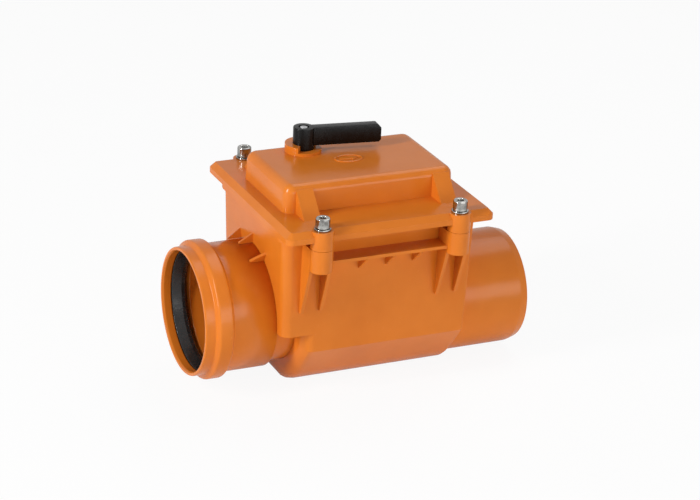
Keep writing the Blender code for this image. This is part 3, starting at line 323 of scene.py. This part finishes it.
def orange_plastic(name):
    """Moulded PVC: slightly uneven pigment, faint flow lines, a skin like orange peel and fine scuffs."""
    finish = Finish(name)
    pigment = finish.ramp(
        finish.noise(scale=14, detail=3),
        (0.3, colour(209, 113, 29)), (0.52, colour(214, 118, 33)), (0.75, colour(219, 123, 37)),
    )
    flow = finish.ramp(finish.noise(scale=30, detail=5, stretch=(1, 1, 0.25)), (0.35, 0.93), (0.65, 1.0))
    tinted = finish.mix(0.6, pigment, flow, "MULTIPLY")
    scuffs = finish.ramp(
        finish.noise(scale=420, detail=8, roughness=0.7, stretch=(1, 3, 0.6)), (0.62, 0.0), (0.78, 0.35),
    )
    worn = finish.mix(scuffs, tinted, colour(232, 150, 92))
    gloss = finish.ramp(finish.noise(scale=60, detail=6), (0.3, 0.17), (0.7, 0.26))
    peel = finish.bump(finish.noise(scale=900, detail=3, roughness=0.5), depth=0.12 * MM, strength=0.35)
    waves = finish.bump(finish.noise(scale=45, detail=2), depth=0.6 * MM, strength=0.25, after=peel)
    return finish.output(Base_Color=worn, Roughness=gloss, Normal=waves, IOR=1.33)


def black_plastic(name):
    """Moulded black plastic: a fine grain and a few pale scuffs."""
    finish = Finish(name)
    body = finish.ramp(finish.noise(scale=50, detail=4), (0.3, colour(2, 2, 2)), (0.7, colour(5, 5, 5)))
    scuffs = finish.ramp(
        finish.noise(scale=500, detail=8, roughness=0.7, stretch=(3, 1, 1)), (0.68, 0.0), (0.84, 0.22),
    )
    worn = finish.mix(scuffs, body, colour(44, 43, 42))
    gloss = finish.ramp(finish.noise(scale=160, detail=5), (0.3, 0.2), (0.7, 0.32))
    grain = finish.bump(finish.noise(scale=1500, detail=3), depth=0.15 * MM, strength=0.5)
    return finish.output(Base_Color=worn, Roughness=gloss, Normal=grain, IOR=1.3)


def rubber(name):
    """Greased black rubber with a little dusty bloom."""
    finish = Finish(name)
    body = finish.ramp(
        finish.noise(scale=80, detail=5), (0.3, colour(20, 19, 19)), (0.7, colour(36, 35, 35)),
    )
    bloom = finish.ramp(finish.noise(scale=260, detail=6, roughness=0.65), (0.55, 0.0), (0.8, 0.3))
    dusty = finish.mix(bloom, body, colour(84, 82, 80))
    gloss = finish.ramp(finish.noise(scale=120, detail=4), (0.3, 0.2), (0.7, 0.32))
    grain = finish.bump(finish.noise(scale=1100, detail=4), depth=0.1 * MM, strength=0.4)
    return finish.output(Base_Color=dusty, Roughness=gloss, Normal=grain, IOR=1.5)


def metal(name, light, dark, gloss_range):
    """Bright metal with fine turning lines and a little tarnish."""
    finish = Finish(name)
    tarnish = finish.ramp(finish.noise(scale=160, detail=6, roughness=0.65), (0.3, dark), (0.6, light))
    smooth, rough = gloss_range
    gloss = finish.ramp(finish.noise(scale=350, detail=5), (0.3, smooth), (0.7, rough))
    lines = finish.bump(
        finish.noise(scale=900, detail=3, roughness=0.6, stretch=(0.15, 0.15, 4)),
        depth=0.05 * MM, strength=0.4,
    )
    return finish.output(Base_Color=tarnish, Roughness=gloss, Normal=lines, Metallic=1.0)


FINISHES = {
    "orange_pvc": orange_plastic("orange_pvc"),
    "black_plastic": black_plastic("black_plastic"),
    "black_rubber": rubber("black_rubber"),
    "plated_steel": metal("plated_steel", colour(186, 185, 181), colour(104, 103, 100), (0.049, 0.105)),
    "stainless_steel": metal("stainless_steel", colour(205, 206, 208), colour(160, 160, 160), (0.168, 0.36)),
}


def dress(obj, material):
    obj.data.materials.clear()
    obj.data.materials.append(material)


def soften(node, width):
    """Rounds a CAD node's sharp edges a little, as a moulding's are."""
    obj = NODES[node]
    for polygon in obj.data.polygons:
        polygon.use_smooth = True
    weld = obj.modifiers.new("weld", "WELD")
    weld.merge_threshold = WELD_DISTANCE
    flat = obj.modifiers.new("flat", "DECIMATE")
    flat.decimate_type = "DISSOLVE"
    flat.angle_limit = FLAT_ANGLE
    bevel = obj.modifiers.new("soft_edge", "BEVEL")
    bevel.width = width
    bevel.segments = SOFT_EDGE_STEPS
    bevel.limit_method = "ANGLE"
    bevel.angle_limit = SOFT_EDGE_ANGLE
    even = obj.modifiers.new("even_normals", "WEIGHTED_NORMAL")
    even.weight = NORMAL_WEIGHT


def new_piece(name, bm, body, slot):
    """Makes a smooth piece from a bmesh, with its slot's finish, that rides on a body."""
    bmesh.ops.recalc_face_normals(bm, faces=bm.faces)
    mesh = bpy.data.meshes.new(name)
    bm.to_mesh(mesh)
    bm.free()
    mesh.shade_smooth()
    obj = bpy.data.objects.new(name, mesh)
    bpy.context.scene.collection.objects.link(obj)
    dress(obj, FINISHES[slot])
    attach(obj, body)
    return obj


def bridge(bm, ring, next_ring):
    """Joins two closed rings of as many points by a band of faces."""
    for index in range(len(ring)):
        other = (index + 1) % len(ring)
        bm.faces.new((ring[index], ring[other], next_ring[other], next_ring[index]))


def rounded_profile(corners, steps):
    """A closed outline of (radius, height) through corners that each give their rounding third."""
    outline = []
    for index, (radius, height, rounding) in enumerate(corners):
        here = Vector((radius, height))
        before, after = Vector(corners[index - 1][:2]), Vector(corners[(index + 1) % len(corners)][:2])
        to_before, to_after = before - here, after - here
        half = to_before.angle(to_after) / 2
        if rounding <= 0 or half > NEARLY_STRAIGHT:
            outline.append(here)
            continue
        room = (to_before.length * CORNER_SHARE, to_after.length * CORNER_SHARE)
        reach = min(rounding / math.tan(half), *room)
        start, end = here + to_before.normalized() * reach, here + to_after.normalized() * reach
        for step in range(steps + 1):
            t = step / steps
            outline.append((1 - t) ** 2 * start + 2 * t * (1 - t) * here + t ** 2 * end)
    return outline


def revolve(name, outline, body, slot, place, axis, steps=TURN_STEPS):
    """A closed outline of (radius, height) turned about an axis through a place."""
    bm = bmesh.new()
    rings = []
    for step in range(steps):
        angle = FULL_TURN * step / steps
        ring = []
        for radius, height in outline:
            across, up = radius * math.cos(angle), radius * math.sin(angle)
            local = (height, across, up) if axis == "X" else (across, up, height)
            ring.append(bm.verts.new(Vector(place) + Vector(local)))
        rings.append(ring)
    for step in range(steps):
        bridge(bm, rings[step], rings[(step + 1) % steps])
    bmesh.ops.remove_doubles(bm, verts=bm.verts, dist=MERGE_DISTANCE)
    return new_piece(name, bm, body, slot)


def inlet_socket():
    """The socket: thin rounded mouth, lip, bead with its groove, and a sleeve that hides the collar."""
    low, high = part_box("inlet_socket")
    axis_z = (low.z + high.z) / 2
    length = high.x - low.x
    bead = (high.z - low.z) / 2
    bead_end = SOCKET_LIP + BEAD_LENGTH
    barrel = bead - BEAD_RISE
    sleeve = barrel + SLEEVE_PROUD
    sleeve_inside = barrel - SLEEVE_DEPTH
    sleeve_end = length + SEAM + COLLAR_LENGTH
    groove = SOCKET_BORE + BEAD_RISE
    through = SOCKET_BORE - PIPE_WALL - SEAM
    mouth = SOCKET_BORE + MOUTH_LEAD / 2
    outline = rounded_profile([
        (mouth + MOUTH_EDGE, 0, MOUTH_OUTSIDE_ROUND),
        (barrel, MOUTH_EDGE / 2, LIP_ROUND),
        (barrel, SOCKET_LIP, BEAD_FOOT_ROUND),
        (bead, SOCKET_LIP + BEAD_SHOULDER, BEAD_ROUND),
        (bead, bead_end - BEAD_SHOULDER, BEAD_ROUND),
        (sleeve, bead_end, BEAD_FOOT_ROUND),
        (sleeve, sleeve_end, SHARP),
        (sleeve_inside, sleeve_end, SHARP),
        (sleeve_inside, length, SHARP),
        (through, length, END_ROUND),
        (through, length - SOCKET_STEP, STEP_ROUND),
        (SOCKET_BORE, length - SOCKET_STEP, STEP_FOOT_ROUND),
        (SOCKET_BORE, bead_end, GROOVE_END_ROUND),
        (groove, bead_end - BEAD_SHOULDER, GROOVE_ROUND),
        (groove, GROOVE_START + BEAD_SHOULDER, GROOVE_ROUND),
        (SOCKET_BORE, GROOVE_START, GROOVE_START_ROUND),
        (SOCKET_BORE, MOUTH_LEAD, MOUTH_LEAD_ROUND),
        (mouth, 0, MOUTH_INSIDE_ROUND),
    ], CORNER_STEPS)
    obj = revolve("socket_moulding", outline, "housing", "orange_pvc", (low.x, 0, axis_z), "X")
    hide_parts("inlet_socket")


def outlet_spigot():
    """The plain pipe end with its outside chamfer."""
    low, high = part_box("outlet_spigot")
    axis_z = (low.z + high.z) / 2
    radius = (high.z - low.z) / 2
    length = high.x - low.x
    inner = radius - PIPE_WALL
    outline = rounded_profile([
        (radius - SPIGOT_CHAMFER_DEPTH, length, SPIGOT_OUTSIDE_ROUND),
        (radius, length - SPIGOT_CHAMFER_LENGTH, SPIGOT_CHAMFER_ROUND),
        (radius, 0, END_ROUND),
        (inner, 0, END_ROUND),
        (inner, length, SPIGOT_INSIDE_ROUND),
    ], CORNER_STEPS)
    obj = revolve("spigot_pipe", outline, "housing", "orange_pvc", (low.x, 0, axis_z), "X")
    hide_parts("outlet_spigot")


def socket_seal():
    """The rubber ring: a body that fills the bead's groove and a rounded lip that leans inwards."""
    low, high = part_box("socket_seal")
    axis_z = (low.z + high.z) / 2
    body = (high.z - low.z) / 2
    width = high.x - low.x
    edge = SOCKET_BORE - SEAM
    drop = edge - SEAL_LIP_RADIUS
    cone = [(edge - fall * drop, along * SEAL_CONE, rounding) for fall, along, rounding in SEAL_CONE_POINTS]
    outline = rounded_profile([
        (body, width, SEAL_BACK_ROUND),
        (body, BEAD_SHOULDER, SEAL_SHOULDER_ROUND),
        (edge, 0, SEAL_EDGE_ROUND),
        *cone,
        (SEAL_LIP_RADIUS, SEAL_CREST * SEAL_CONE, SEAL_CREST_ROUND),
        (SEAL_LIP_RADIUS, width - SEAL_TAIL, SEAL_CREST_ROUND),
        (edge, width, SEAL_BACK_ROUND),
    ], CORNER_STEPS)
    obj = revolve("seal_ring", outline, "housing", "black_rubber", (low.x, 0, axis_z), "X")
    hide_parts("socket_seal")


def loft(bm, rings):
    """Joins closed rings of as many points, and closes both ends."""
    made = [[bm.verts.new(point) for point in ring] for ring in rings]
    for lower, upper in zip(made, made[1:]):
        bridge(bm, lower, upper)
    bm.faces.new(made[0])
    bm.faces.new(made[-1])


def cap_screw(node):
    """A socket-head screw: rounded knurled head, chamfered hexagon socket and a plain shank."""
    low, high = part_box(node)
    centre = (low + high) / 2
    radius = (high.x - low.x) / 2
    top = high.z
    under = top - HEAD_HEIGHT
    floor = top - HEXAGON_DEPTH
    angles = [FULL_TURN * index / SMALL_TURN_STEPS for index in range(SMALL_TURN_STEPS)]

    def circle(r, z, groove=0.0):
        """A ring of points, every other one deeper by the groove."""
        ring = []
        for index, a in enumerate(angles):
            reach = r - groove * (index % 2)
            ring.append((centre.x + reach * math.cos(a), centre.y + reach * math.sin(a), z))
        return ring

    def hexagon(across, z):
        """As many points as a circle has, on the sides of a hexagon."""
        ring = []
        for a in angles:
            r = across / 2 / math.cos((a + SIXTH_TURN / 2) % SIXTH_TURN - SIXTH_TURN / 2)
            ring.append((centre.x + r * math.cos(a), centre.y + r * math.sin(a), z))
        return ring

    rings = [
        circle(DRILL_TIP, floor - DRILL_DEPTH),
        circle(DRILL_RADIUS, floor),
        hexagon(HEXAGON, floor + HEXAGON_FLOOR_STEP),
        hexagon(HEXAGON, top - HEXAGON_CHAMFER),
        circle(RIM_INSIDE, top - RIM_DEPTH),
        circle(RIM_OUTSIDE, top),
        circle(radius - HEAD_SHOULDER - HEAD_FLAT, top),
    ]
    for step in range(HEAD_SHOULDER_STEPS + 1):
        turn = math.pi / 2 * step / HEAD_SHOULDER_STEPS
        rings.append(circle(
            radius - HEAD_SHOULDER + HEAD_SHOULDER * math.sin(turn),
            top - HEAD_SHOULDER + HEAD_SHOULDER * math.cos(turn),
        ))
    rings += [
        circle(radius, top - HEAD_SHOULDER - KNURL_BELOW_SHOULDER, KNURL_DEPTH),
        circle(radius, under + KNURL_ABOVE_FOOT, KNURL_DEPTH),
        *(circle(radius - inset, under + rise) for inset, rise in HEAD_FOOT),
        circle(BOLT_RADIUS, under),
        circle(BOLT_RADIUS, low.z + BOLT_TIP_CHAMFER),
        circle(BOLT_RADIUS - BOLT_TIP_CHAMFER, low.z),
    ]
    bm = bmesh.new()
    loft(bm, rings)
    obj = new_piece(node.replace("cover_bolt", "cap_screw"), bm, "housing", "plated_steel")
    obj.data.set_sharp_from_angle(angle=BOLT_SHARP_ANGLE)
    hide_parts(node)


def washer(node):
    """A flat washer with its edges rounded."""
    low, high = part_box(node)
    radius = (high.x - low.x) / 2
    hole = BOLT_RADIUS + SEAM
    thick = high.z - low.z
    outline = rounded_profile([
        (radius, thick, WASHER_TOP_ROUND),
        (radius, 0, WASHER_FOOT_ROUND),
        (hole, 0, END_ROUND),
        (hole, thick, WASHER_HOLE_ROUND),
    ], SMALL_CORNER_STEPS)
    name = node.replace("cover_washer", "washer")
    place = ((low.x + high.x) / 2, (low.y + high.y) / 2, low.z)
    obj = revolve(name, outline, "housing", "plated_steel", place, "Z", SMALL_TURN_STEPS)
    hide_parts(node)


def carve(obj, bm):
    """Cuts a shape out of a piece for good."""
    mesh = bpy.data.meshes.new("cutter")
    bm.to_mesh(mesh)
    bm.free()
    tool = bpy.data.objects.new("cutter", mesh)
    bpy.context.scene.collection.objects.link(tool)
    modifier = obj.modifiers.new("carve", "BOOLEAN")
    modifier.operation = "DIFFERENCE"
    modifier.object = tool
    graph = bpy.context.evaluated_depsgraph_get()
    carved = bpy.data.meshes.new_from_object(obj.evaluated_get(graph))
    obj.modifiers.clear()
    obj.data = carved
    bpy.data.objects.remove(tool)
    bpy.data.meshes.remove(mesh)


def lever_handle():
    """The lever: a round hub, a deep arm with a chamfered tip, softened edges and its screw's recess."""
    low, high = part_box("lever_handle")
    top, bottom = high.z, low.z
    arm_z = top - LEVER_ARM_HEIGHT
    half = LEVER_ARM_WIDTH / 2
    spread = math.asin(half / LEVER_HUB_RADIUS)
    back = [
        spread + (FULL_TURN - 2 * spread) * index / LEVER_HUB_STEPS for index in range(LEVER_HUB_STEPS + 1)
    ]
    front = [-spread + 2 * spread * index / LEVER_ROOT_STEPS for index in range(1, LEVER_ROOT_STEPS)]
    bm = bmesh.new()

    def point(angle, z):
        return bm.verts.new((LEVER_HUB_RADIUS * math.cos(angle), LEVER_HUB_RADIUS * math.sin(angle), z))

    # The hub's points: behind the arm at three heights, and under the arm's root at two
    upper = [point(a, top) for a in back]
    middle = [point(a, arm_z) for a in back]
    root = [point(a, arm_z) for a in front]
    lower = [point(a, bottom) for a in back + front]
    tip = [
        (LEVER_REACH - LEVER_TIP_CHAMFER, top),
        (LEVER_REACH, top - LEVER_TIP_CHAMFER),
        (LEVER_REACH, arm_z + LEVER_TIP_CHAMFER / 2),
        (LEVER_REACH - LEVER_TIP_CHAMFER / 2, arm_z),
    ]
    right = [bm.verts.new((x, -half, z)) for x, z in tip]
    left = [bm.verts.new((x, half, z)) for x, z in tip]
    bm.faces.new(upper + [right[0], left[0]])
    for index in range(LEVER_HUB_STEPS):
        bm.faces.new((upper[index], upper[index + 1], middle[index + 1], middle[index]))
    bm.faces.new([upper[-1], *right, middle[-1]])
    bm.faces.new([middle[0], *reversed(left), upper[0]])
    for index in range(len(tip) - 1):
        bm.faces.new((right[index], left[index], left[index + 1], right[index + 1]))
    bm.faces.new([right[-1], left[-1], middle[0], *reversed(root), middle[-1]])
    bridge(bm, middle + root, lower)
    bm.faces.new(lower)
    bmesh.ops.recalc_face_normals(bm, faces=bm.faces)
    bmesh.ops.bevel(
        bm, geom=[edge for edge in bm.edges if edge.calc_face_angle(0) > LEVER_SHARP_ANGLE],
        offset=LEVER_EDGE_ROUND, offset_type="OFFSET", segments=LEVER_EDGE_STEPS, profile=ROUND_PROFILE,
        affect="EDGES", clamp_overlap=True,
    )
    turn = Matrix.Translation(LEVER_AXIS) @ Matrix.Rotation(LEVER_TURN, 4, "Z")
    bmesh.ops.transform(bm, matrix=turn, verts=bm.verts)
    obj = new_piece("lever_moulding", bm, "lever", "black_plastic")

    _low, screw_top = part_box("lever_screw")
    floor = screw_top.z - RECESS_DEPTH
    recess = bmesh.new()
    bmesh.ops.create_cone(
        recess, cap_ends=True, segments=SMALL_TURN_STEPS, radius1=RECESS_FLOOR_RADIUS,
        radius2=RECESS_TOP_RADIUS, depth=RECESS_CUTTER,
        matrix=Matrix.Translation((LEVER_AXIS.x, LEVER_AXIS.y, floor + RECESS_CUTTER / 2)),
    )
    carve(obj, recess)
    obj.data.set_sharp_from_angle(angle=LEVER_SHARP_ANGLE)
    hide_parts("lever_handle")


def raise_outline(bm, outline, place, height):
    """A raised flat shape with its upper edges rounded."""
    lower = [bm.verts.new(place + Vector((x, y, 0))) for x, y in outline]
    face = bm.faces.new(lower)
    raised = bmesh.ops.extrude_face_region(bm, geom=[face])["geom"]
    corners = [item for item in raised if isinstance(item, bmesh.types.BMVert)]
    bmesh.ops.translate(bm, vec=(0, 0, height), verts=corners)
    rim = [item for item in raised if isinstance(item, bmesh.types.BMEdge)]
    bmesh.ops.bevel(
        bm, geom=rim, offset=height * ARROW_ROUND_SHARE, offset_type="OFFSET", segments=ARROW_ROUND_STEPS,
        profile=ROUND_PROFILE, affect="EDGES", clamp_overlap=True,
    )


def flow_arrow():
    """A plain raised arrow in an oval ring on the cover, in place of the maker's embossing."""
    _low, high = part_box("cover")
    top = high.z - LEVER_COLLAR_HEIGHT
    centre = Vector((*ARROW_PLACE, top - ARROW_SUNK))
    bm = bmesh.new()
    raise_outline(bm, [(x * MM, y * MM) for x, y in ARROW_OUTLINE], centre, ARROW_HEIGHT)
    rings = []
    for share, rise in OVAL_SECTION:
        offset = share * OVAL_HALF_WIDTH
        ring = []
        for index in range(OVAL_STEPS):
            a = FULL_TURN * index / OVAL_STEPS
            across, along = (OVAL_LONG + offset) * math.cos(a), (OVAL_SHORT + offset) * math.sin(a)
            ring.append(bm.verts.new(centre + Vector((across, along, rise * MM))))
        rings.append(ring)
    for ring, next_ring in zip(rings, rings[1:] + rings[:1]):
        bridge(bm, ring, next_ring)
    obj = new_piece("flow_arrow", bm, "housing", "orange_pvc")
    obj.data.set_sharp_from_angle(angle=ARROW_SHARP_ANGLE)


def photo_camera():
    """The photograph's camera, turned by its azimuth, elevation and roll."""
    azimuth, elevation, roll = CAMERA_AZIMUTH, CAMERA_ELEVATION, CAMERA_ROLL
    back = Vector((
        math.sin(azimuth) * math.cos(elevation),
        -math.cos(azimuth) * math.cos(elevation),
        math.sin(elevation),
    ))
    level = Vector((math.cos(azimuth), math.sin(azimuth), 0))
    upright = back.cross(level)
    right = math.cos(roll) * level + math.sin(roll) * upright
    up = math.cos(roll) * upright - math.sin(roll) * level
    data = bpy.data.cameras.new("photo_camera")
    data.sensor_width = SENSOR_MM
    data.lens = FOCAL_PIXELS / IMAGE_WIDTH * SENSOR_MM
    data.clip_start = CLIP_START
    camera = bpy.data.objects.new("photo_camera", data)
    turn = Matrix((right, up, back)).transposed()
    camera.matrix_world = Matrix.Translation(CAMERA_PLACE) @ turn.to_4x4()
    bpy.context.scene.collection.objects.link(camera)
    bpy.context.scene.camera = camera


def softbox(name, place, width, height, watts):
    """A white rectangular lamp that faces the valve."""
    data = bpy.data.lights.new(name, "AREA")
    data.shape = "RECTANGLE"
    data.size, data.size_y = width, height
    data.energy = watts
    lamp = bpy.data.objects.new(name, data)
    lamp.location = place
    lamp.rotation_mode = "QUATERNION"
    lamp.rotation_quaternion = (Vector(LAMP_AIM) - Vector(place)).to_track_quat("-Z", "Y")
    bpy.context.scene.collection.objects.link(lamp)


def seen_share(tree, by_camera, by_mirror):
    """How far a ray sees the white background: from the camera, or in a reflection or a refraction."""
    path = tree.nodes.new("ShaderNodeLightPath").outputs
    shares = {"Is Camera Ray": by_camera, "Is Glossy Ray": by_mirror, "Is Transmission Ray": by_mirror}
    total = None
    for ray, share in shares.items():
        sum_node = tree.nodes.new("ShaderNodeMath")
        sum_node.operation = "MULTIPLY_ADD"
        factor, multiplier, addend = sum_node.inputs
        tree.links.new(path[ray], factor)
        multiplier.default_value = share
        addend.default_value = 0
        if total:
            tree.links.new(total, addend)
        total = sum_node.outputs[0]
    return total


def even_world():
    """A dim even light, white where the camera or a mirror sees it."""
    world = bpy.data.worlds.new("studio")
    world.use_nodes = True
    bpy.context.scene.world = world
    tree = world.node_tree
    background = tree.nodes["Background"]
    background.inputs["Color"].default_value = (1, 1, 1, 1)
    strength = tree.nodes.new("ShaderNodeMapRange")
    strength.inputs["To Min"].default_value = WORLD_LIGHT
    strength.inputs["To Max"].default_value = 1.0
    tree.links.new(seen_share(tree, WORLD_SEEN, WORLD_MIRRORED), strength.inputs["Value"])
    tree.links.new(strength.outputs["Result"], background.inputs["Strength"])


def pale_floor():
    """A large matt floor that glows for the camera, so that it is near white and keeps the shadow."""
    low, _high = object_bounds()
    bm = bmesh.new()
    bmesh.ops.create_grid(bm, x_segments=1, y_segments=1, size=FLOOR_REACH)
    bmesh.ops.translate(bm, vec=(0, 0, low.z - FLOOR_DROP), verts=bm.verts)
    mesh = bpy.data.meshes.new("floor")
    bm.to_mesh(mesh)
    bm.free()
    floor = bpy.data.objects.new("floor", mesh)
    bpy.context.scene.collection.objects.link(floor)
    finish = Finish("pale_floor")
    grain = finish.ramp(
        finish.noise(scale=7, detail=3), (0.3, colour(243, 243, 243)), (0.7, colour(248, 248, 247)),
    )
    finish.output(Base_Color=grain, Roughness=FLOOR_ROUGHNESS)
    glow = finish.add("ShaderNodeEmission")
    glow.inputs["Color"].default_value = (1, 1, 1, 1)
    blend = finish.add("ShaderNodeMixShader")
    share, matt, white = blend.inputs
    finish.link(seen_share(finish.tree, FLOOR_SEEN, FLOOR_MIRRORED), share)
    finish.link(finish.shader.outputs["BSDF"], matt)
    finish.link(glow.outputs["Emission"], white)
    finish.link(blend.outputs["Shader"], finish.tree.nodes["Material Output"].inputs["Surface"])
    dress(floor, finish.material)
    floor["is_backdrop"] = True


def dress_nodes():
    """Gives each CAD node its slot's finish, and softens the edges of the large mouldings."""
    slots = {entry["node"]: entry["material_slot"] for entry in frame["record"]["subparts"]}
    for node, obj in NODES.items():
        dress(obj, FINISHES[slots[node]])
    for node, width in SOFT_EDGES.items():
        soften(node, width)


bpy.context.scene.view_settings.view_transform = "Standard"
dress_nodes()
inlet_socket()
outlet_spigot()
socket_seal()
for corner in CORNERS:
    cap_screw(f"cover_bolt_{corner}")
    washer(f"cover_washer_{corner}")
lever_handle()
flow_arrow()
photo_camera()
even_world()
for lamp_row in LAMPS:
    softbox(*lamp_row)
pale_floor()
